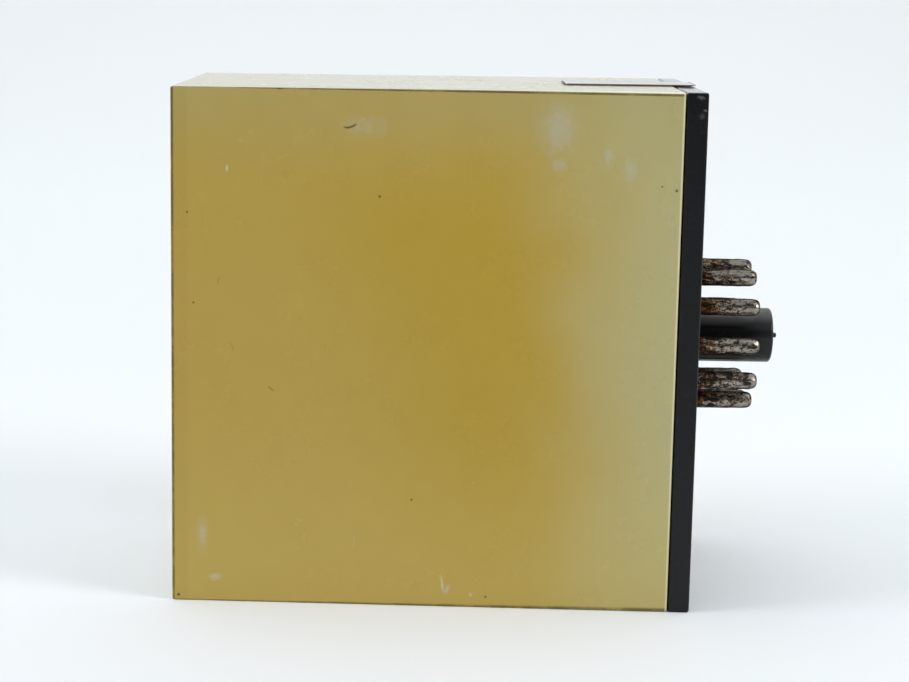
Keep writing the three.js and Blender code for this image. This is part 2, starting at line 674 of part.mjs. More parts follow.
// The lamp points at the lens and its two leads bend down to the board.
function makeIndicatorLed() {
  const tipY = FRONT_Y + FRONT_WALL + 1.5;
  const bodyEnd = tipY + 6.6;
  const body = turned([
    [0, tipY],
    [1.3, tipY + 0.4],
    [2.2, tipY + 1.3],
    [2.5, tipY + 2.5],
    [2.5, bodyEnd - 1],
    [2.9, bodyEnd - 1],
    [2.9, bodyEnd],
    [0, bodyEnd],
  ], 16).translate(0, 0, LENS_Z);
  const leads = [1, -1].map((side) => bentWire([
    [0, bodyEnd - BITE, LENS_Z + side * 1.27],
    [0, bodyEnd + 2, LENS_Z + side * 1.27],
    [SOLDER_X, bodyEnd + 2, LENS_Z + side * 1.27],
  ], 0.5, 0.8, 8));
  return fuse(body, ...leads);
}

add('indicator_led', redLens, makeIndicatorLed());

// ------------------------------------------------------------ wires from the board into the pins

const WIRE_DIAMETER = 0.8;
const WIRE_Y = 12;                 // row of solder points at the board's rear edge
const WIRE_SPREAD = 1.25;          // the solder points lie further apart than the pins
const LOAD_PINS = [1, 3, 9, 11];
const INPUT_PINS = [2, 10];

function makeWire(number) {
  const { x, z } = pinPlace(number);
  const boardZ = AXIS_Z + (z - AXIS_Z) * WIRE_SPREAD;
  return bentWire([
    [SOLDER_X, WIRE_Y, boardZ],
    [x, WIRE_Y, boardZ],
    [x, WIRE_Y + 6.5, z],
    [x, PIN_BORE_END_Y - 0.5, z],
  ], WIRE_DIAMETER, 0.9, 16);
}

for (const number of LOAD_PINS) add(`wire_to_pin_${number}`, redWire, makeWire(number));
for (const number of INPUT_PINS) add(`wire_to_pin_${number}`, blackWire, makeWire(number));

export default relay;
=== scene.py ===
# Looks of the plug-in solid state relay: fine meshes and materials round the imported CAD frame.
# Units are metres. +Z is up, the plug points along +Y, and the camera sees the wide side at +X.

import math

import bmesh
import bpy
from mathutils import Matrix, Vector, noise


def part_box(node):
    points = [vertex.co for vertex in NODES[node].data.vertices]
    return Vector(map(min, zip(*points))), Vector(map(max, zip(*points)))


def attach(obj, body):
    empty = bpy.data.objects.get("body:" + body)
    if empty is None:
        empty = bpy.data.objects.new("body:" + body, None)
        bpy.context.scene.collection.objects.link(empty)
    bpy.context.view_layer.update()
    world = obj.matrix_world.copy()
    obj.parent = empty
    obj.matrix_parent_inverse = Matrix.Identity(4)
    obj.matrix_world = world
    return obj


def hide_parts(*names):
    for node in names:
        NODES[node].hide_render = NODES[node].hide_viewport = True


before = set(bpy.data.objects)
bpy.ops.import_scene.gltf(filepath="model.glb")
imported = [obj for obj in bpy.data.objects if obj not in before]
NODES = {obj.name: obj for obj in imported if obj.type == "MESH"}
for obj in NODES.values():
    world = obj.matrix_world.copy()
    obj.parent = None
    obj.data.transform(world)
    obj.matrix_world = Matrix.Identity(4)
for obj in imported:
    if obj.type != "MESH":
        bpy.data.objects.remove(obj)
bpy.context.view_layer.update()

MM = 0.001

# ------------------------------------------------------------ sizes taken from the frame

COVER_LOW, COVER_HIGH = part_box("cover")
BASE_LOW, BASE_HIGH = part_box("base_plate")
AXIS_Z = (BASE_LOW.z + BASE_HIGH.z) / 2
FRONT_Y = COVER_LOW.y
SEAM_Y = COVER_HIGH.y
POST_END_Y = BASE_HIGH.y
HALF_WIDTH = BASE_HIGH.x
HALF_HEIGHT = (BASE_HIGH.z - BASE_LOW.z) / 2
BASE_THICKNESS = 2.85 * MM
SEAM_GAP = 0.15 * MM     # joint between cover and base
BASE_Y = SEAM_Y + SEAM_GAP
REAR_Y = BASE_Y + BASE_THICKNESS
WALL = 1.8 * MM
FRONT_WALL = 2 * MM
GAP = 0.3 * MM           # clearance where one piece fits inside another
BITE = 0.5 * MM          # how far a shape runs into the one that it is joined to or cuts
EDGE_RADIUS = 0.3 * MM   # rounding of the cover's and the base's outer edges


def front_half_sizes():
    """Half the width and half the height of the cover's front face, which mould draft makes smaller."""
    front = [v.co for v in NODES["cover"].data.vertices if v.co.y < FRONT_Y + 0.01 * MM]
    return max(co.x for co in front), max(co.z for co in front) - AXIS_Z


FRONT_HALF_WIDTH, FRONT_HALF_HEIGHT = front_half_sizes()
DRAFT_X = (HALF_WIDTH - FRONT_HALF_WIDTH) / (SEAM_Y - FRONT_Y)
DRAFT_Z = (HALF_HEIGHT - FRONT_HALF_HEIGHT) / (SEAM_Y - FRONT_Y)

# ------------------------------------------------------------ camera


def add_camera(place, heading, pitch, roll, lens):
    """In degrees: heading is anticlockwise from +Y, pitch is above the horizon, and roll lifts the
    right-hand side."""
    data = bpy.data.cameras.new("camera")
    data.lens = lens
    data.sensor_width = 36
    data.clip_start = 0.01
    data.clip_end = 10
    camera = bpy.data.objects.new("camera", data)
    bpy.context.scene.collection.objects.link(camera)
    turn = (
        Matrix.Rotation(math.radians(heading), 4, "Z")
        @ Matrix.Rotation(math.radians(90 + pitch), 4, "X")
        @ Matrix.Rotation(math.radians(roll), 4, "Z")
    )
    camera.matrix_world = Matrix.Translation(place) @ turn
    bpy.context.scene.camera = camera


add_camera(
    place=Vector((289.8, -5.7, 83.6)) * MM,
    heading=89.66,
    pitch=-9.85,
    roll=1.12,
    lens=82.0,
)

# ------------------------------------------------------------ mesh helpers


def new_object(name, bm):
    bmesh.ops.recalc_face_normals(bm, faces=bm.faces)
    mesh = bpy.data.meshes.new(name)
    bm.to_mesh(mesh)
    bm.free()
    obj = bpy.data.objects.new(name, mesh)
    bpy.context.scene.collection.objects.link(obj)
    return obj


def box_mesh(low, high):
    bm = bmesh.new()
    bmesh.ops.create_cube(bm, size=1)
    size = Vector(high) - Vector(low)
    middle = (Vector(high) + Vector(low)) / 2
    for vert in bm.verts:
        vert.co = Vector(c * s for c, s in zip(vert.co, size)) + middle
    return bm


def rounded_box(name, low, high, radius, segments=3):
    bm = box_mesh(low, high)
    if radius > 0:
        bmesh.ops.bevel(
            bm, geom=bm.edges[:], offset=radius, segments=segments, profile=0.5, affect="EDGES"
        )
    return new_object(name, bm)


def turned(name, profile, segments, centre, wobble=None):
    """A solid of revolution along Y about the line through centre (x, z). The profile's points are
    (radius, y) and it starts and ends on the axis. wobble(angle, y) is added to each radius."""
    bm = bmesh.new()
    rings = []
    for radius, y in profile:
        if radius == 0:
            rings.append([bm.verts.new((centre[0], y, centre[1]))])
            continue
        ring = []
        for i in range(segments):
            angle = 2 * math.pi * i / segments
            r = radius + (wobble(angle, y) if wobble else 0)
            x = centre[0] + r * math.sin(angle)
            z = centre[1] + r * math.cos(angle)
            ring.append(bm.verts.new((x, y, z)))
        rings.append(ring)
    for one, two in zip(rings, rings[1:]):
        for i in range(segments):
            j = (i + 1) % segments
            corners = [one[i % len(one)], one[j % len(one)], two[j % len(two)], two[i % len(two)]]
            bm.faces.new(list(dict.fromkeys(corners)))
    return new_object(name, bm)


def bake_modifiers(obj):
    graph = bpy.context.evaluated_depsgraph_get()
    mesh = bpy.data.meshes.new_from_object(obj.evaluated_get(graph))
    obj.modifiers.clear()
    obj.data = mesh


def combine(obj, tool, operation):
    """Joins or cuts obj with the tool object, and removes the tool."""
    step = obj.modifiers.new(operation.lower(), "BOOLEAN")
    step.object = tool
    step.operation = operation
    step.solver = "EXACT"
    bake_modifiers(obj)
    bpy.data.objects.remove(tool)


def join(obj, *tools):
    for tool in tools:
        combine(obj, tool, "UNION")


def cut(obj, *tools):
    for tool in tools:
        combine(obj, tool, "DIFFERENCE")


def smooth(obj, angle=35):
    """Shades smooth, with sharp edges above the angle and flat faces kept flat."""
    obj.data.shade_smooth()
    obj.data.set_sharp_from_angle(angle=math.radians(angle))
    weighted = obj.modifiers.new("weighted_normals", "WEIGHTED_NORMAL")
    weighted.keep_sharp = True


def declare(obj, slot, material, *nodes):
    """Makes obj the piece that stands for the CAD nodes."""
    obj.data.materials.clear()
    obj.data.materials.append(material)
    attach(obj, "root")
    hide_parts(*nodes)


# ------------------------------------------------------------ shader helpers


class Shader:
    """A material's node tree, with short calls for the nodes that this file uses."""

    def __init__(self, name):
        self.material = bpy.data.materials.new(name)
        self.material.use_nodes = True
        self.tree = self.material.node_tree
        self.bsdf = self.tree.nodes["Principled BSDF"]
        coordinates = self.tree.nodes.new("ShaderNodeTexCoord")
        self.place = self.vector("SCALE", coordinates.outputs["Object"], scale=1 / MM)
        self.x, self.y, self.z = self.split(self.place)
        self.shift = None

    def node(self, kind, inputs, **settings):
        made = self.tree.nodes.new(kind)
        for name, value in settings.items():
            setattr(made, name, value)
        for key, value in inputs.items():
            if isinstance(value, bpy.types.NodeSocket):
                self.tree.links.new(value, made.inputs[key])
            elif value is not None:
                made.inputs[key].default_value = value
        return made

    def set(self, **values):
        """Gives the shader its sockets: plain values are set on them, and other sockets are linked."""
        for key, value in values.items():
            socket = self.bsdf.inputs[key.replace("_", " ")]
            if isinstance(value, bpy.types.NodeSocket):
                self.tree.links.new(value, socket)
            else:
                socket.default_value = value

    def vector(self, operation, a, b=None, scale=None):
        inputs = {0: a, 1: b}
        if scale is not None:
            inputs["Scale"] = scale
        return self.node("ShaderNodeVectorMath", inputs, operation=operation).outputs["Vector"]

    def length(self, a):
        return self.node("ShaderNodeVectorMath", {0: a}, operation="LENGTH").outputs["Value"]

    def split(self, vector):
        return self.node("ShaderNodeSeparateXYZ", {0: vector}).outputs

    def join(self, x=0.0, y=0.0, z=0.0):
        return self.node("ShaderNodeCombineXYZ", {0: x, 1: y, 2: z}).outputs[0]

    def math(self, operation, a, b=None):
        return self.node("ShaderNodeMath", {0: a, 1: b}, operation=operation).outputs[0]

    def times(self, a, b):
        return self.math("MULTIPLY", a, b)

    def plus(self, a, b):
        return self.math("ADD", a, b)

    def either(self, *masks):
        """The strongest of several masks."""
        whole = masks[0]
        for mask in masks[1:]:
            whole = self.math("MAXIMUM", whole, mask)
        return whole

    def fade(self, value, start, end, low=0.0, high=1.0):
        """Goes smoothly from low, where the value is at start, to high, where it is at end."""
        inputs = {"Value": value, 1: start, 2: end, 3: low, 4: high}
        return self.node("ShaderNodeMapRange", inputs, interpolation_type="SMOOTHSTEP").outputs[0]

    def noise(self, size, detail=2.0, roughness=0.5, stretch=(1, 1, 1), offset=0.0, distortion=0.0):
        """Noise from 0 to 1 whose blotches are about size millimetres across."""
        placing = {"Vector": self.place, "Scale": stretch, "Location": (offset, offset, offset)}
        scaled = self.node("ShaderNodeMapping", placing).outputs[0]
        inputs = {
            "Vector": scaled,
            "Scale": 1 / size,
            "Detail": detail,
            "Roughness": roughness,
            "Distortion": distortion,
        }
        return self.node("ShaderNodeTexNoise", inputs).outputs[0]

    def mix(self, factor, a, b, blend="MIX"):
        inputs = {0: factor, 6: colour(a), 7: colour(b)}
        return self.node("ShaderNodeMix", inputs, data_type="RGBA", blend_type=blend).outputs[2]

    def bump(self, height, depth, strength=1.0, normal=None):
        """Bumps as deep as stated in millimetres where the height goes from 0 to 1."""
        inputs = {"Height": height, "Distance": depth * MM, "Strength": strength, "Normal": normal}
        return self.node("ShaderNodeBump", inputs).outputs[0]

    def ragged(self):
        """A shift from -0.5 to 0.5 on each axis that breaks up outlines; made once for each material."""
        if self.shift is None:
            wild = self.node("ShaderNodeTexNoise", {"Vector": self.place, "Scale": 1.1, "Detail": 3.0})
            self.shift = self.vector("SUBTRACT", wild.outputs["Color"], (0.5, 0.5, 0.5))
        return self.shift

    def spot(self, y, z, width, height, turn=0.0, edge=0.5, rough=0.0):
        """A soft-edged ellipse on a wide side, given by its middle from the front and from the top, its
        width and height in millimetres and its turn in degrees. rough breaks up its outline."""
        away = self.vector("SUBTRACT", self.join(0.0, self.y, self.z), side_place(y, z))
        if rough:
            away = self.vector("ADD", away, self.vector("SCALE", self.ragged(), scale=rough))
        turning = {"Vector": away, "Angle": math.radians(turn)}
        turned_back = self.node("ShaderNodeVectorRotate", turning, rotation_type="X_AXIS").outputs[0]
        shaped = self.vector("MULTIPLY", turned_back, (0.0, 2 / width, 2 / height))
        return self.fade(self.length(shaped), 1.0, 1.0 - edge)


def side_place(from_front, from_top):
    """A place on a wide side, in millimetres from the front face and from the top."""
    return (0.0, FRONT_Y / MM + from_front, BASE_HIGH.z / MM - from_top)


def linear(level):
    """A linear light value from a 0 to 255 screen value."""
    share = level / 255
    return ((share + 0.055) / 1.055) ** 2.4 if share > 0.04045 else share / 12.92


def srgb(red, green, blue):
    """A shader colour from 0 to 255 screen values."""
    return linear(red), linear(green), linear(blue)


def colour(value):
    """Adds the fourth number that a colour socket needs, and leaves linked sockets alone."""
    return (*value, 1.0) if isinstance(value, tuple) and len(value) == 3 else value


# ------------------------------------------------------------ materials of the outside


def cover_material():
    """Cream plastic that has yellowed to ochre, most in the middle of the wide sides."""
    s = Shader("yellowed_cream_plastic")
    from_front = s.math("SUBTRACT", s.y, FRONT_Y / MM)
    from_top = s.math("SUBTRACT", BASE_HIGH.z / MM, s.z)
    drift = s.times(s.math("SUBTRACT", s.noise(22, 2), 0.5), 14.0)
    along = s.plus(from_front, drift)
    down = s.plus(from_top, drift)

    ochre = srgb(187, 155, 51)
    brown = srgb(190, 161, 73)
    olive = srgb(188, 181, 128)
    middle = s.times(s.fade(s.plus(along, s.times(down, -0.34)), 2, 29), s.fade(along, 57, 42))
    tone = s.mix(s.fade(along, 41, 71), brown, olive)
    upper_end = s.fade(down, 4, 22)
    lower_end = s.fade(down, 74, 56, 0.3, 1.0)
    tone = s.mix(s.times(s.times(middle, upper_end), lower_end), tone, ochre)
    tone = s.mix(s.fade(down, 14, -4, 0.0, 0.6), tone, srgb(180, 168, 112))
    # Painted light: the wide sides are painted lighter towards the bottom, for the light that the floor
    # throws back onto them.
    tone = s.mix(s.fade(from_top, 40, 72, 0.0, 0.44), tone, srgb(212, 188, 104))

    # Painted shade: the front wall's shadow showing through the translucent plastic, painted as a
    # slightly darker band.
    front_wall_shade = s.fade(from_front, 2.5, 1.9)
    tone = s.mix(s.times(front_wall_shade, 0.07), tone, srgb(120, 96, 40))

    # The narrow faces have stayed closer to cream.
    facing = s.split(s.node("ShaderNodeNewGeometry", {}).outputs["Normal"])
    sideways = s.fade(s.math("ABSOLUTE", facing[0]), 0.35, 0.8)
    narrow = s.mix(s.noise(16, 3), srgb(226, 221, 200), srgb(218, 211, 182))
    tone = s.mix(sideways, narrow, tone)

    tone = s.mix(s.times(s.noise(3.5, 4, 0.6), 0.08), tone, srgb(150, 128, 62), "MULTIPLY")

    seen_side = s.fade(facing[0], 0.6, 0.9)
    smears = s.times(seen_side, s.either(
        s.times(s.spot(50.6, 5.2, 8, 11, -12, 1.0, 2), 0.32),
        s.times(s.spot(50.8, 9.6, 3, 2.6, 0, 1.0, 1.5), 0.45),
        s.times(s.spot(57.2, 8.6, 2, 4, 0, 1.0, 1), 0.3),
        s.times(s.spot(60, 10.2, 2.4, 4.6, -8, 1.0, 1), 0.3),
        s.times(s.spot(25.5, 5.2, 9, 4, 0, 1.0, 2), 0.22),
        s.times(s.spot(4.1, 60.5, 2.2, 8, 0, 1.0, 1), 0.3),
    ))
    cloud = s.fade(s.noise(1.6, 3, 0.5, (1, 1, 0.5)), 0.3, 0.6, 0.35, 1.0)
    tone = s.mix(s.times(smears, cloud), tone, srgb(190, 200, 200))
    scuffs = s.times(seen_side, s.either(
        s.spot(7.4, 11.0, 0.5, 1.3, 0, 0.8),
        s.times(s.spot(5.8, 66.2, 2.6, 1.5, 0, 0.9, 1.2), 0.6),
        s.spot(36.5, 66.6, 0.5, 3.4, -12, 0.8, 0.5),
        s.times(s.spot(37.2, 67.4, 0.9, 2.0, 20, 0.8, 0.6), 0.6),
        s.times(s.spot(40.4, 68.0, 0.7, 0.9, 0, 0.8, 0.4), 0.6),
        s.times(s.spot(24.5, 61, 0.4, 2.8, 10, 0.9, 0.5), 0.25),
    ))
    tone = s.mix(s.times(scuffs, 0.55), tone, srgb(214, 214, 204))

    scratch = s.times(seen_side, s.times(
        s.spot(23.4, 5.1, 2.0, 0.9, -12, 0.35, 0.2),
        s.math("SUBTRACT", 1.0, s.spot(23.25, 4.85, 2.1, 0.9, -12, 0.3, 0.2)),
    ))
    dark_marks = s.times(seen_side, s.either(
        scratch,
        s.spot(14.3, 0.45, 1.3, 0.45, 0, 0.5, 0.3),
        s.times(s.spot(13.3, 40.2, 1.5, 0.35, 30, 0.6, 0.5), 0.5),
        s.times(s.spot(8.1, 34.6, 0.3, 2.0, -15, 0.7, 0.5), 0.3),
        s.times(s.spot(6.3, 25.8, 0.3, 1.6, 8, 0.7, 0.4), 0.35),
        *[
            s.spot(y, z, size, size, 0, 0.6)
            for y, z, size in (
                (2.2, 16.8, 0.45), (27.4, 14.3, 0.5), (64.3, 12.3, 0.35), (66.2, 12.8, 0.55),
                (32.2, 55.0, 0.45), (3.0, 28.8, 0.4), (0.9, 68.8, 0.6), (42.4, 68.3, 0.45),
            )
        ],
    ))
    tone = s.mix(s.times(dark_marks, 0.75), tone, srgb(58, 46, 26))

    # Darker brownish lines run beside the front, top and bottom edges of the wide sides.
    # Painted highlights: pale lines along the top edges and the rear edge, where the rounded edges catch
    # the light.
    beside = s.either(
        s.fade(from_front, 0.5, 0.3),
        s.fade(s.math("ABSOLUTE", s.plus(from_top, -0.4)), 0.2, 0.08),
        s.fade(from_top, 69.3, 69.6),
    )
    edge_lines = s.times(s.times(beside, sideways), s.fade(s.noise(4, 4, 0.7), 0.3, 0.6, 0.45, 1.0))
    tone = s.mix(s.times(edge_lines, 0.75), tone, srgb(70, 58, 26))
    # Painted highlight: a pale line along each top edge of the wide sides.
    top_edge_highlight = s.times(s.fade(from_top, 0.25, 0.12), s.fade(s.math("ABSOLUTE", s.x), 19.0, 19.6))
    tone = s.mix(top_edge_highlight, tone, srgb(255, 252, 225))
    # Painted highlight: a pale line along the cover's rear edge at the seam.
    tone = s.mix(s.fade(from_front, 66.6, 66.8, 0.0, 0.6), tone, srgb(236, 228, 184))

    roughness = s.fade(s.noise(9, 4, 0.6), 0.3, 0.8, 0.2, 0.32)
    s.set(Base_Color=tone)
    s.set(Roughness=s.plus(roughness, s.times(smears, 0.2)))
    s.set(Specular_IOR_Level=0.3)
    grain = s.bump(s.noise(0.3, 3, 0.6), 0.0003)
    dents = s.math("SUBTRACT", 0.0, s.either(scratch, s.times(scuffs, 0.3)))
    s.set(Normal=s.bump(dents, 0.05, 1.0, grain))
    return s.material


def base_material():
    """Black moulded plastic, a little dusty, with grey scuffs on the outer edges. Upward faces are
    painted pale grey, partly dust and partly painted reflection.
    """
    s = Shader("black_plastic")
    dust = s.noise(4, 5, 0.65)
    tone = s.mix(s.fade(dust, 0.45, 0.8, 0.0, 0.35), srgb(19, 19, 20), srgb(34, 34, 34))
    facing = s.split(s.node("ShaderNodeNewGeometry", {}).outputs["Normal"])
    # Partly dust, partly painted reflection: upward faces go pale grey in dusty blotches, for the bright
    # backdrop that they reflect.
    upward = s.fade(facing[2], 0.5, 0.9)
    dust_and_reflection = s.times(upward, s.fade(dust, 0.2, 0.6, 0.4, 0.8))
    tone = s.mix(dust_and_reflection, tone, srgb(128, 126, 122))
    handled = s.fade(s.y, REAR_Y / MM + 8.5, POST_END_Y / MM - 1)
    tone = s.mix(s.times(handled, 0.3), tone, srgb(70, 69, 68))
    low_dust = s.fade(s.z, 34, 0)
    tone = s.mix(s.times(low_dust, 0.3), tone, srgb(52, 52, 52))
    scuffs = s.either(
        s.spot(69.0, 0.65, 1.5, 0.7, 4, 0.8, 1.1),
        s.spot(69.5, 2.3, 0.8, 0.4, 10, 0.6, 0.4),
        s.times(s.spot(69.1, 3.0, 1.1, 1.2, 0, 0.9, 0.6), 0.5),
    )
    tone = s.mix(s.times(scuffs, 0.5), tone, srgb(120, 118, 116))
    worn = s.fade(s.noise(0.9, 4, 0.7), 0.55, 0.75)
    s.set(Base_Color=s.mix(s.times(worn, 0.08), tone, srgb(80, 80, 80)))
    roughness = s.fade(dust, 0.3, 0.8, 0.16, 0.3)
    s.set(Roughness=s.times(roughness, s.math("SUBTRACT", 1.0, s.times(upward, 0.6))))
    s.set(Specular_IOR_Level=0.18)
    s.set(Normal=s.bump(s.noise(0.3, 3, 0.6), 0.0005))
    return s.material


def pin_material():
    """Tinned brass tube, brown with tarnish towards the root, with brighter solder at the tip."""
    s = Shader("tarnished_tin")
    along = s.math("SUBTRACT", s.y, REAR_Y / MM)
    streaks = s.noise(0.48, 3, 0.6, (1, 0.4, 1), 3.0, 0.5)
    blotches = s.noise(0.42, 3, 0.65, (1, 0.8, 1), 11.0, 1.0)
    patches = s.noise(3.2, 2, 0.5, offset=23.0)
    towards_root = s.fade(along, 8.0, 0.5, -0.12, 0.12)
    spread = s.plus(blotches, s.times(s.plus(patches, -0.5), 0.6))
    rust = s.fade(s.plus(spread, towards_root), 0.47, 0.56)
    dark = s.fade(s.plus(streaks, s.times(towards_root, 0.3)), 0.49, 0.57)
    bare = s.mix(s.noise(1.2, 3), srgb(184, 177, 164), srgb(92, 82, 68))
    brown = s.mix(s.noise(0.4, 3, 0.6, offset=5.0), srgb(118, 78, 36), srgb(52, 29, 15))
    tone = s.mix(rust, bare, brown)
    tone = s.mix(s.times(dark, 0.9), tone, srgb(22, 17, 14))
    # Painted shade: the metal is painted near black where it is seen edge-on, for the dark room that it
    # reflects there.
    rim = s.node("ShaderNodeLayerWeight", {"Blend": 0.5}).outputs["Facing"]
    tone = s.mix(s.fade(rim, 0.42, 0.74, 0.0, 0.92), tone, srgb(20, 15, 12))
    s.set(Base_Color=tone)
    s.set(Metallic=s.fade(s.either(rust, dark), 0.2, 0.9, 1.0, 0.7))
    s.set(Roughness=s.fade(s.plus(rust, dark), 0.0, 1.4, 0.08, 0.26))
    s.set(Specular_Tint=colour((0.12, 0.1, 0.09)))
    relief = s.plus(s.times(rust, 0.3), s.plus(s.times(streaks, 0.7), s.times(blotches, 0.9)))
    s.set(Normal=s.bump(relief, 0.07))
    return s.material


def steel_material():
    """Zinc-plated steel with fine turning marks."""
    s = Shader("zinc_plated_steel")
    wear = s.noise(1.5, 4, 0.6)
    s.set(Base_Color=s.mix(wear, srgb(196, 196, 190), srgb(160, 158, 148)))
    s.set(Roughness=s.fade(wear, 0.3, 0.7, 0.25, 0.42))
    s.set(Metallic=1.0)
    s.set(Normal=s.bump(s.noise(0.15, 2, 0.5, (1, 6, 1)), 0.01))
    return s.material


def label_material(name, low, high, border_inset, axes, paper, line, blush):
    """Coated paper with a thin dark border line, border_inset millimetres from the edge: print on the
    rating label, and a plain line at the very edge of the seal. axes are the two directions that the
    label lies in, and blush is how pink the paper has gone inside the border."""
    s = Shader(name)
    sides = []
    for axis in axes:
        middle = (low[axis] + high[axis]) / 2 / MM
        half = (high[axis] - low[axis]) / 2 / MM
        off = s.math("ABSOLUTE", s.math("SUBTRACT", (s.x, s.y, s.z)[axis], middle))
        sides.append(s.math("SUBTRACT", half, off))
    inset = s.math("MINIMUM", *sides)
    distance = s.math("ABSOLUTE", s.math("SUBTRACT", inset, border_inset))
    border = s.fade(distance, 0.2, 0.12)
    fibres = s.noise(0.4, 4, 0.7)
    tone = s.mix(fibres, paper, tuple(c * 0.93 for c in paper))
    well_inside = s.fade(inset, border_inset + 0.6, border_inset + 2)
    tone = s.mix(s.times(well_inside, blush), tone, srgb(214, 176, 182))
    s.set(Base_Color=s.mix(border, tone, line))
    s.set(Roughness=s.fade(fibres, 0.3, 0.7, 0.42, 0.6))
    s.set(Normal=s.bump(s.noise(3, 3), 0.02))
    return s.material


def lens_material():
    """Clear red plastic that is a little uneven in depth."""
    s = Shader("red_lens")
    depth = s.noise(1.2, 2)
    s.set(Base_Color=s.mix(depth, srgb(176, 24, 20), srgb(140, 12, 12)))
    s.set(Roughness=s.fade(s.noise(0.6, 3), 0.4, 0.7, 0.08, 0.16))
    s.set(Transmission_Weight=0.35)
    s.set(IOR=1.49)
    return s.material


# ------------------------------------------------------------ materials of the inside


def plain_material(name, light, dark, size, roughness, metallic=0.0, relief=0.01):
    """A finish that varies between two colours in blotches, with a fine surface grain."""
    s = Shader(name)
    blotch = s.noise(size, 4, 0.6)
    s.set(Base_Color=s.mix(blotch, light, dark))
    s.set(Roughness=s.fade(blotch, 0.3, 0.7, roughness, roughness + 0.12))
    s.set(Metallic=metallic)
    s.set(Normal=s.bump(s.noise(0.2, 3, 0.6), relief))
    return s.material


def board_material():
    """Green solder mask with tracks that show faintly under it."""
    s = Shader("solder_mask")
    pitch_y = 5.08
    pitch_z = 7.62
    grid_y = s.math("ABSOLUTE", s.math("SUBTRACT", s.math("FRACT", s.times(s.y, 1 / pitch_y)), 0.5))
    grid_z = s.math("ABSOLUTE", s.math("SUBTRACT", s.math("FRACT", s.times(s.z, 1 / pitch_z)), 0.5))
    chosen = s.fade(s.noise(9, 1), 0.48, 0.52)
    along_y = s.fade(grid_z, 0.12, 0.08)
    along_z = s.fade(grid_y, 0.14, 0.1)
    line = s.plus(s.times(along_y, chosen), s.times(along_z, s.math("SUBTRACT", 1.0, chosen)))
    s.set(Base_Color=s.mix(line, srgb(26, 74, 40), srgb(52, 110, 60)))
    s.set(Roughness=s.fade(s.noise(2, 3), 0.3, 0.7, 0.3, 0.42))
    s.set(Normal=s.bump(line, 0.03))
    return s.material


def resistor_material(name, axis_distance):
    """Tan lacquer with plain colour rings round the body, whose middle lies axis_distance millimetres
    above or below the plug's axis."""
    s = Shader(name)
    lacquer = s.mix(s.noise(1, 3), srgb(206, 184, 140), srgb(190, 166, 122))
    rings = [srgb(120, 40, 30), srgb(50, 46, 44), srgb(196, 120, 40)]
    from_axis = s.math("ABSOLUTE", s.math("SUBTRACT", s.z, AXIS_Z / MM))
    for ring, offset in zip(rings, (-1.8, -0.4, 1.0)):
        near = s.math("ABSOLUTE", s.math("SUBTRACT", from_axis, axis_distance + offset))
        lacquer = s.mix(s.fade(near, 0.42, 0.34), lacquer, ring)
    s.set(Base_Color=lacquer)
    s.set(Roughness=s.fade(s.noise(0.7, 2), 0.3, 0.7, 0.4, 0.5))
    return s.material


# ------------------------------------------------------------ cover

LABEL_LOW, LABEL_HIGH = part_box("front_label")
LENS_LOW, LENS_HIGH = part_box("indicator_lens")
BOARD_LOW, BOARD_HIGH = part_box("circuit_board")
LENS_AXIS = (0, (LENS_LOW.z + LENS_HIGH.z) / 2)
LENS_RADIUS = 3 * MM
LENS_CLEARANCE = 0.12 * MM
SCREW_OFFSET = 30 * MM   # the base screws lie this far above and below the plug's axis
SCREW_AXES = [(0, AXIS_Z + side * SCREW_OFFSET) for side in (1, -1)]
BOSS_HALF_WIDTH = 3.5 * MM
BOSS_LENGTH = 17 * MM
BOSS_INNER_REACH = 3.2 * MM
PILOT_RADIUS = 1.4 * MM
PILOT_DEPTH = 14 * MM
RIB_THICKNESS = 1.4 * MM
RECESS_DEPTH = 0.35 * MM


def draft(obj):
    """Narrows a box towards the front as the cover's mould does."""
    for vert in obj.data.vertices:
        back = SEAM_Y - vert.co.y
        vert.co.x -= math.copysign(DRAFT_X * back, vert.co.x)
        vert.co.z -= math.copysign(DRAFT_Z * back, vert.co.z - AXIS_Z)


def drafted_box(name, front_y, rear_y, half_width, half_height, radius):
    low = (-half_width, front_y, AXIS_Z - half_height)
    high = (half_width, rear_y, AXIS_Z + half_height)
    obj = rounded_box(name, low, high, radius, 4)
    draft(obj)
    return obj


def rod(name, radius, y0, y1, centre, segments=48):
    return turned(name, [(0, y0), (radius, y0), (radius, y1), (0, y1)], segments, centre)


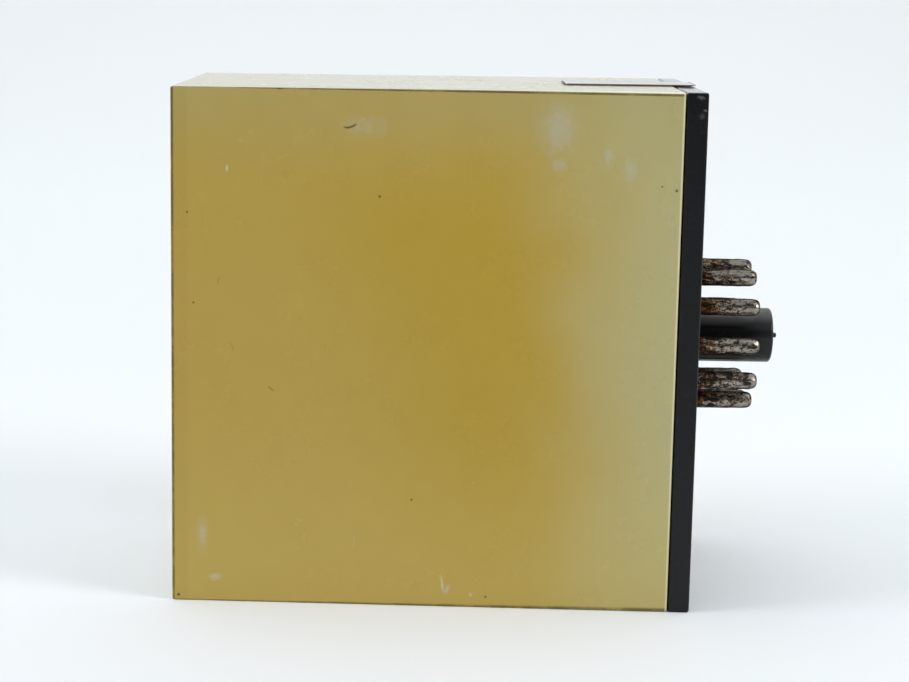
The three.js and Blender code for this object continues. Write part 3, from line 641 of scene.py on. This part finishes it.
def make_cover():
    cover = drafted_box("cover_shell", FRONT_Y, SEAM_Y, HALF_WIDTH, HALF_HEIGHT, EDGE_RADIUS)
    inner_front_y = FRONT_Y + FRONT_WALL
    inner_half_width = HALF_WIDTH - WALL
    inner_half_height = HALF_HEIGHT - WALL
    cut(cover, drafted_box(
        "hollow", inner_front_y, SEAM_Y + 2 * BITE, inner_half_width, inner_half_height, 0.8 * MM
    ))
    boss_y = SEAM_Y - GAP
    for (x, z), side in zip(SCREW_AXES, (1, -1)):
        wall_z = AXIS_Z + side * (inner_half_height + BITE)
        inner_z = z - side * BOSS_INNER_REACH
        low = (x - BOSS_HALF_WIDTH, boss_y - BOSS_LENGTH, min(inner_z, wall_z))
        high = (x + BOSS_HALF_WIDTH, boss_y, max(inner_z, wall_z))
        join(cover, rounded_box("boss", low, high, 0.2 * MM))
        for rib_x in (BOARD_LOW.x - GAP - RIB_THICKNESS, BOARD_HIGH.x + GAP):
            low = (rib_x, inner_front_y - BITE, min(z, wall_z))
            high = (rib_x + RIB_THICKNESS, BOARD_HIGH.y - 2 * MM, max(z, wall_z))
            join(cover, rounded_box("rib", low, high, 0.15 * MM, 2))
        cut(cover, rod("pilot", PILOT_RADIUS, boss_y - PILOT_DEPTH, boss_y + BITE, (x, z), 32))
    hole_radius = LENS_RADIUS + LENS_CLEARANCE
    cut(cover, rod("lens_hole", hole_radius, FRONT_Y - BITE, inner_front_y + BITE, LENS_AXIS))
    low = (LABEL_LOW.x - GAP, FRONT_Y - 2 * MM, LABEL_LOW.z - GAP)
    high = (LABEL_HIGH.x + GAP, FRONT_Y + RECESS_DEPTH, LABEL_HIGH.z + GAP)
    cut(cover, rounded_box("recess", low, high, 0))
    smooth(cover)
    declare(cover, "cover_cream", cover_material(), "cover")


make_cover()

# ------------------------------------------------------------ base plate with the plug's key post

PIN_COUNT = 11
PIN_CENTRES = {}
for number in range(1, PIN_COUNT + 1):
    pin_low, pin_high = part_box(f"pin_{number}")
    PIN_CENTRES[number] = ((pin_low.x + pin_high.x) / 2, (pin_low.z + pin_high.z) / 2)
PIN_TIP_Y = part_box("pin_1")[1].y
PIN_ROOT_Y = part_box("pin_1")[0].y
PIN_RADIUS = 1.2 * MM
POST_RADIUS = 3.85 * MM
NUB_HEIGHT = 0.75 * MM       # stub of the moulding gate at the middle of the post's end
NUB_RADIUS = 0.4 * MM
KEY_HALF_WIDTH = 0.95 * MM
KEY_HEIGHT = 1.2 * MM
KEY_SETBACK = 0.8 * MM       # the key stops this far short of the post's end
SCREW_RADIUS = 1.45 * MM
SCREW_HEAD_RADIUS = 2.9 * MM
SCREW_SINK_DEPTH = 1.9 * MM
RIM_HEIGHT = 5 * MM
RIM_THICKNESS = 1.6 * MM
PIN_PAD_RADIUS = 13 * MM     # thicker round patch of the base that carries the pins
PIN_PAD_HEIGHT = 2 * MM
BOARD_STOP_SPAN = (24 * MM, 28 * MM)
SCREW_TOP_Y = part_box("base_screw_1")[1].y


def arc_points(centre_radius, centre_y, radius, start, end, steps):
    """Points (radius, y) on an arc in a turned profile, with angles in degrees from +Y outwards."""
    points = []
    for i in range(steps + 1):
        angle = math.radians(start + (end - start) * i / steps)
        points.append((centre_radius + radius * math.sin(angle), centre_y + radius * math.cos(angle)))
    return points


def make_post():
    """The post with its slightly crowned end, the gate stub on it, and the key along its side."""
    face_y = POST_END_Y - NUB_HEIGHT
    crown = 0.16 * MM
    corner = 0.45 * MM
    profile = [(0, REAR_Y - BITE), (POST_RADIUS, REAR_Y - BITE)]
    profile += arc_points(POST_RADIUS - corner, face_y - crown - corner, corner, 90, 20, 6)
    steps = 8
    for i in range(steps):
        part = 1 - i / steps
        profile.append((0.5 * MM + (POST_RADIUS - 1 * MM) * part, face_y - crown * part ** 2))
    profile.append((NUB_RADIUS, face_y + 0.05 * MM))
    profile.append((NUB_RADIUS * 0.85, POST_END_Y - 0.08 * MM))
    profile.append((NUB_RADIUS * 0.5, POST_END_Y))
    profile.append((0, POST_END_Y))
    post = turned("post", profile, 72, (0, AXIS_Z))
    key_low = (-POST_RADIUS - KEY_HEIGHT, REAR_Y - BITE, AXIS_Z - KEY_HALF_WIDTH)
    key_high = (0, face_y - KEY_SETBACK, AXIS_Z + KEY_HALF_WIDTH)
    join(post, rounded_box("key", key_low, key_high, 0.2 * MM))
    return post


def upright_box(name, half_x, half_z, low_y, high_y, radius):
    """A rounded box centred on the plug's axis."""
    low = (-half_x, low_y, AXIS_Z - half_z)
    high = (half_x, high_y, AXIS_Z + half_z)
    return rounded_box(name, low, high, radius)


def make_rim():
    """The rim of the base that fits inside the cover, open where the cover's screw bosses pass."""
    half_x = HALF_WIDTH - WALL - GAP
    half_z = HALF_HEIGHT - WALL - GAP
    low_y = BASE_Y - RIM_HEIGHT
    below_y = low_y - 1 * MM
    rim = upright_box("rim", half_x, half_z, low_y, BASE_Y + BITE, 0.2 * MM)
    inner_x = half_x - RIM_THICKNESS
    inner_z = half_z - RIM_THICKNESS
    inside = upright_box("inside", inner_x, inner_z, below_y, BASE_Y + 1.5 * BITE, 0)
    notch = upright_box("notch", BOSS_HALF_WIDTH + GAP, half_z + BITE, below_y, BASE_Y, 0)
    cut(rim, inside, notch)
    return rim


def make_board_stop(side):
    """A block on the base that holds the circuit board's edge forward."""
    near, far = sorted(AXIS_Z + side * span for span in BOARD_STOP_SPAN)
    low = (BOARD_LOW.x - 1 * MM, BOARD_HIGH.y + GAP, near)
    high = (BOARD_HIGH.x + 1 * MM, BASE_Y + BITE, far)
    return rounded_box("stop", low, high, 0.15 * MM, 2)


def screw_hole(place):
    hole = SCREW_RADIUS + GAP
    sink = SCREW_HEAD_RADIUS + GAP
    profile = [
        (0, BASE_Y - BITE),
        (hole, BASE_Y - BITE),
        (hole, REAR_Y - SCREW_SINK_DEPTH),
        (sink, SCREW_TOP_Y),
        (sink, REAR_Y + BITE),
        (0, REAR_Y + BITE),
    ]
    return turned("screw_hole", profile, 48, place)


def make_base():
    low = (-HALF_WIDTH, BASE_Y, BASE_LOW.z)
    high = (HALF_WIDTH, REAR_Y, BASE_HIGH.z)
    base = rounded_box("base_moulding", low, high, EDGE_RADIUS, 4)
    join(base, make_rim())
    pad_y = BASE_Y - PIN_PAD_HEIGHT
    join(base, rod("pin_pad", PIN_PAD_RADIUS, pad_y, BASE_Y + BITE, (0, AXIS_Z), 72))
    for side in (1, -1):
        join(base, make_board_stop(side))
    join(base, make_post())
    hole_radius = PIN_RADIUS + 0.06 * MM
    for place in PIN_CENTRES.values():
        cut(base, rod("pin_hole", hole_radius, BASE_Y - 3 * MM, REAR_Y + BITE, place, 40))
    for place in SCREW_AXES:
        cut(base, screw_hole(place))
    smooth(base)
    declare(base, "base_black", base_material(), "base_plate")


make_base()

# ------------------------------------------------------------ plug pins

TINNED_BRASS = pin_material()


def make_pin(number):
    """A tube with a flange inside the base; the solder that closes it has run a little over the tip."""
    bore = 0.75 * MM
    bore_end = REAR_Y + 7 * MM
    flange_low = PIN_ROOT_Y + 1 * MM
    flange_high = BASE_Y - 2.1 * MM
    flange_radius = 1.7 * MM
    lip = 1.05 * MM
    profile = [
        (0, bore_end),
        (bore, bore_end),
        (bore, PIN_ROOT_Y),
        (PIN_RADIUS, PIN_ROOT_Y),
        (PIN_RADIUS, flange_low),
        (flange_radius, flange_low),
        (flange_radius, flange_high),
        (PIN_RADIUS, flange_high),
    ]
    tube_start = REAR_Y - 1 * MM
    tube_end = PIN_TIP_Y - lip
    rings = 40
    for i in range(rings):
        profile.append((PIN_RADIUS, tube_start + (tube_end - tube_start) * i / (rings - 1)))
    shoulder = PIN_RADIUS * 0.98
    bluntness = 0.62
    steps = 12
    for i in range(1, steps):
        turn = math.pi / 2 * i / steps
        profile.append((shoulder * math.cos(turn) ** bluntness, tube_end + lip * math.sin(turn)))
    profile.append((0, PIN_TIP_Y))
    solder_reach = 4 * MM
    still_tip = 0.15 * MM

    def wobble(angle, y):
        """Uneven solder in metres, most near the tip. The very tip and the part in the base stay true."""
        if y < REAR_Y or y > PIN_TIP_Y - still_tip:
            return 0
        around = Vector((math.sin(angle), math.cos(angle), y / MM * 0.7)) * 1.4
        ripple = noise.noise(around + Vector((7.3 * number, 0, 0)))
        fine = noise.noise(around * 2.7 + Vector((0, 5.1 * number, 0)))
        nearness = max(0.0, 1 - (PIN_TIP_Y - y) / solder_reach)
        return MM * ((0.03 + 0.05 * nearness) * (ripple - 0.3) + 0.025 * fine)

    pin = turned(f"plug_pin_{number}", profile, 40, PIN_CENTRES[number], wobble)
    smooth(pin, 50)
    declare(pin, "pin_tinned_brass", TINNED_BRASS, f"pin_{number}")


for number in PIN_CENTRES:
    make_pin(number)

# ------------------------------------------------------------ screws, labels and lens

ZINC_STEEL = steel_material()


def make_base_screw(number, place):
    """A countersunk screw with a cross slot and a thread of rings."""
    tip_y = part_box(f"base_screw_{number}")[0].y
    profile = [(0, tip_y), (0.3 * MM, tip_y + 0.2 * MM)]
    pitch = 1.1 * MM
    thread_start = tip_y + 2 * MM
    thread_turns = 8
    core = SCREW_RADIUS - 0.3 * MM
    for turn in range(thread_turns):
        y = thread_start + turn * pitch
        profile += [(core, y), (SCREW_RADIUS, y + pitch * 0.45), (core, y + pitch * 0.9)]
    profile.append((SCREW_RADIUS, SCREW_TOP_Y - 1.7 * MM))
    profile.append((SCREW_HEAD_RADIUS, SCREW_TOP_Y - 0.2 * MM))
    profile.append((SCREW_HEAD_RADIUS - 0.05 * MM, SCREW_TOP_Y))
    profile.append((0, SCREW_TOP_Y))
    screw = turned(f"countersunk_screw_{number}", profile, 48, place)
    x, z = place
    half_length = 1.6 * MM
    half_arm = 0.4 * MM
    slot_depth = 0.9 * MM
    for half_x, half_z in ((half_length, half_arm), (half_arm, half_length)):
        low = (x - half_x, SCREW_TOP_Y - slot_depth, z - half_z)
        high = (x + half_x, SCREW_TOP_Y + BITE, z + half_z)
        cut(screw, rounded_box("slot", low, high, 0.1 * MM, 2))
    smooth(screw)
    declare(screw, "screw_zinc_steel", ZINC_STEEL, f"base_screw_{number}")


for number, place in enumerate(SCREW_AXES, start=1):
    make_base_screw(number, place)


def rounded_sheet(name, width, length, thickness, radius):
    """A rounded rectangle in the XY plane, centred on the origin."""
    bm = bmesh.new()
    outline = []
    steps = 8
    for quarter, (side_x, side_y) in enumerate(((1, 1), (-1, 1), (-1, -1), (1, -1))):
        corner_x = side_x * (width / 2 - radius)
        corner_y = side_y * (length / 2 - radius)
        for step in range(steps + 1):
            angle = math.radians(90 * quarter + 90 * step / steps)
            outline.append((corner_x + radius * math.cos(angle), corner_y + radius * math.sin(angle)))
    verts = [bm.verts.new((x, y, -thickness / 2)) for x, y in outline]
    face = bm.faces.new(verts)
    raised = bmesh.ops.extrude_face_region(bm, geom=[face])
    for item in raised["geom"]:
        if isinstance(item, bmesh.types.BMVert):
            item.co.z += thickness
    return new_object(name, bm)


def make_seal():
    """The blank seal, tilted to lie on the drafted top of the cover."""
    low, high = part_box("seal_label")
    thickness = 0.15 * MM
    seal = rounded_sheet("seal_sheet", high.x - low.x, high.y - low.y, thickness, 0.9 * MM)
    tilt = Matrix.Rotation(math.atan(DRAFT_Z), 4, "X")
    seal.data.transform(Matrix.Translation((low + high) / 2) @ tilt)
    smooth(seal)
    paper = srgb(232, 230, 226)
    # The seal's border is a thin dark line at its very edge.
    line = srgb(112, 104, 106)
    material = label_material("seal_paper", low, high, 0.05, (0, 1), paper, line, 0.2)
    declare(seal, "label_paper", material, "seal_label")


def make_front_label():
    low, high = LABEL_LOW, LABEL_HIGH
    sheet = rounded_sheet("rating_label", high.x - low.x, high.z - low.z, high.y - low.y, 1.5 * MM)
    sheet.data.transform(Matrix.Translation((low + high) / 2) @ Matrix.Rotation(math.pi / 2, 4, "X"))
    smooth(sheet)
    paper = srgb(228, 226, 214)
    line = srgb(60, 60, 60)
    material = label_material("front_paper", low, high, 1.0, (0, 2), paper, line, 0.05)
    declare(sheet, "label_paper", material, "front_label")


def make_lens():
    """A lens whose face is slightly crowned, with a flange behind the cover's front wall."""
    flange_radius = LENS_HIGH.x
    flange_y = FRONT_Y + FRONT_WALL + 0.1 * MM
    crown = 0.35 * MM
    steps = 10
    profile = [(0, LENS_LOW.y)]
    for i in range(1, steps + 1):
        part = i / steps
        profile.append((LENS_RADIUS * part, LENS_LOW.y + crown * part ** 3))
    profile += [(LENS_RADIUS, flange_y), (flange_radius, flange_y), (flange_radius, LENS_HIGH.y)]
    profile.append((0, LENS_HIGH.y))
    lens = turned("lens_moulding", profile, 64, LENS_AXIS)
    smooth(lens)
    declare(lens, "lens_red", lens_material(), "indicator_lens")


make_seal()
make_front_label()
make_lens()

# ------------------------------------------------------------ pieces inside, which keep their CAD shapes

ALUMINIUM = plain_material("mill_aluminium", srgb(196, 198, 200), srgb(170, 172, 176), 3, 0.32, 1.0)
SILICONE = plain_material("grey_silicone", srgb(146, 149, 150), srgb(128, 131, 133), 2, 0.65)
EPOXY = plain_material("black_epoxy", srgb(26, 26, 28), srgb(38, 38, 40), 0.8, 0.45)
FILM = plain_material("red_film_box", srgb(172, 44, 36), srgb(150, 34, 28), 3, 0.35)
VARISTOR = plain_material("blue_dip", srgb(38, 92, 154), srgb(26, 74, 132), 1.5, 0.3, relief=0.04)
SLEEVE = plain_material("blue_sleeve", srgb(40, 52, 96), srgb(32, 42, 84), 2, 0.25)
RED_WIRE = plain_material("red_insulation", srgb(168, 32, 32), srgb(146, 24, 26), 1.5, 0.4)
BLACK_WIRE = plain_material("black_insulation", srgb(30, 30, 30), srgb(42, 42, 42), 1.5, 0.4)
LED = plain_material("red_epoxy", srgb(190, 34, 26), srgb(160, 22, 18), 1, 0.12)

# How far parts lie above or below the plug's axis, in millimetres.
CHANNEL_OFFSET = 12.0
INPUT_RESISTOR_OFFSET = 8.0

INSIDE = {
    "circuit_board": board_material(),
    "heat_sink": ALUMINIUM,
    "bridge_rectifier": EPOXY,
    "regulator_transistor": EPOXY,
    "smoothing_capacitor": SLEEVE,
    "indicator_led": LED,
    "input_resistor": resistor_material("large_resistor", INPUT_RESISTOR_OFFSET),
}
for number in (1, 2):
    for stem in ("triac_screw", "triac_nut", "heat_sink_screw"):
        INSIDE[f"{stem}_{number}"] = ZINC_STEEL
    INSIDE[f"triac_{number}"] = EPOXY
    INSIDE[f"optocoupler_{number}"] = EPOXY
    INSIDE[f"insulating_pad_{number}"] = SILICONE
    INSIDE[f"snubber_capacitor_{number}"] = FILM
    INSIDE[f"varistor_{number}"] = VARISTOR
    INSIDE[f"gate_resistor_{number}"] = resistor_material(f"gate_resistor_{number}", CHANNEL_OFFSET)
    INSIDE[f"snubber_resistor_{number}"] = resistor_material(f"snubber_resistor_{number}", CHANNEL_OFFSET)
for number in (1, 3, 9, 11):
    INSIDE[f"wire_to_pin_{number}"] = RED_WIRE
for number in (2, 10):
    INSIDE[f"wire_to_pin_{number}"] = BLACK_WIRE

SOFT_EDGE = 0.12 * MM
for name, material in INSIDE.items():
    node = NODES[name]
    node.data.materials.clear()
    node.data.materials.append(material)
    weld = node.modifiers.new("weld", "WELD")
    weld.merge_threshold = 0.001 * MM
    edge = node.modifiers.new("soft_edges", "BEVEL")
    edge.width = SOFT_EDGE
    edge.segments = 2
    edge.limit_method = "ANGLE"
    edge.angle_limit = math.radians(40)

# ------------------------------------------------------------ floor, backdrop and light


def stage_material():
    """Pale paper, a little uneven."""
    s = Shader("pale_paper")
    s.set(Base_Color=s.mix(s.noise(60, 2), (0.95, 0.97, 0.975), (0.96, 0.98, 0.985)))
    s.set(Roughness=0.9)
    s.set(Specular_IOR_Level=0.1)
    return s.material


def make_stage():
    """A floor that sweeps up into a backdrop far behind the module. The whole sheet is tilted with the
    draft of the face that the module stands on, so that it lies flat."""
    bend_x = -0.6
    radius = 0.3
    floor_end_x = 1.5
    wall_height = 1.5
    profile = [(floor_end_x, 0.0), (bend_x, 0.0)]
    steps = 24
    for i in range(1, steps + 1):
        angle = math.pi / 2 * i / steps
        profile.append((bend_x - radius * math.sin(angle), radius * (1 - math.cos(angle))))
    profile.append((bend_x - radius, wall_height))
    half_length = 1.5
    bm = bmesh.new()
    rows = []
    for y in (-half_length, half_length):
        rows.append([bm.verts.new((x, y, z + (SEAM_Y - y) * DRAFT_Z)) for x, z in profile])
    for i in range(len(profile) - 1):
        bm.faces.new((rows[0][i], rows[0][i + 1], rows[1][i + 1], rows[1][i]))
    stage = new_object("paper_sweep", bm)
    stage.data.shade_smooth()
    stage.data.materials.append(stage_material())


def add_softbox(name, place, target, width, height, watts, tint):
    """A rectangular light at place that points at target."""
    data = bpy.data.lights.new(name, "AREA")
    data.shape = "RECTANGLE"
    data.size = width
    data.size_y = height
    data.energy = watts
    data.color = tint
    light = bpy.data.objects.new(name, data)
    bpy.context.scene.collection.objects.link(light)
    aim = Vector(target) - Vector(place)
    light.rotation_euler = aim.to_track_quat("-Z", "Y").to_euler()
    light.location = place


def add_light():
    """A pale even room that is dark low down in front, which keeps black parts black, and softboxes."""
    world = bpy.data.worlds.new("studio")
    bpy.context.scene.world = world
    world.use_nodes = True
    tree = world.node_tree
    background = tree.nodes["Background"]
    direction = tree.nodes.new("ShaderNodeTexCoord").outputs["Generated"]
    split = tree.nodes.new("ShaderNodeSeparateXYZ")
    tree.links.new(direction, split.inputs[0])

    def soft_step(value, start, end):
        step = tree.nodes.new("ShaderNodeMapRange")
        step.interpolation_type = "SMOOTHSTEP"
        step.inputs["From Min"].default_value = start
        step.inputs["From Max"].default_value = end
        tree.links.new(value, step.inputs["Value"])
        return step.outputs[0]

    low_front = tree.nodes.new("ShaderNodeMath")
    low_front.operation = "MULTIPLY"
    tree.links.new(soft_step(split.outputs["X"], 0.25, 0.65), low_front.inputs[0])
    tree.links.new(soft_step(split.outputs["Z"], 0.7, 0.35), low_front.inputs[1])
    room = tree.nodes.new("ShaderNodeMix")
    room.data_type = "RGBA"
    pale_blue = (0.93, 1.0, 1.045, 1)
    near_black = (0.04, 0.042, 0.045, 1)
    room.inputs[6].default_value = pale_blue
    room.inputs[7].default_value = near_black
    tree.links.new(low_front.outputs[0], room.inputs[0])
    tree.links.new(room.outputs[2], background.inputs["Color"])
    background.inputs["Strength"].default_value = 0.825
    middle = (0, 0, 0.035)
    add_softbox("left_box", (0.15, -0.48, 0.3), middle, 0.2, 0.2, 0.72, (1.0, 0.96, 1.06))
    add_softbox("right_box", (0.2, 0.45, 0.3), middle, 0.2, 0.2, 1.08, (1.0, 0.97, 0.99))
    add_softbox("back_box", (-0.5, 0, 0.62), (-0.72, 0, 0.05), 1.3, 0.4, 1.6, (1.0, 0.97, 0.94))


make_stage()
add_light()
bpy.context.scene.view_settings.view_transform = "Standard"
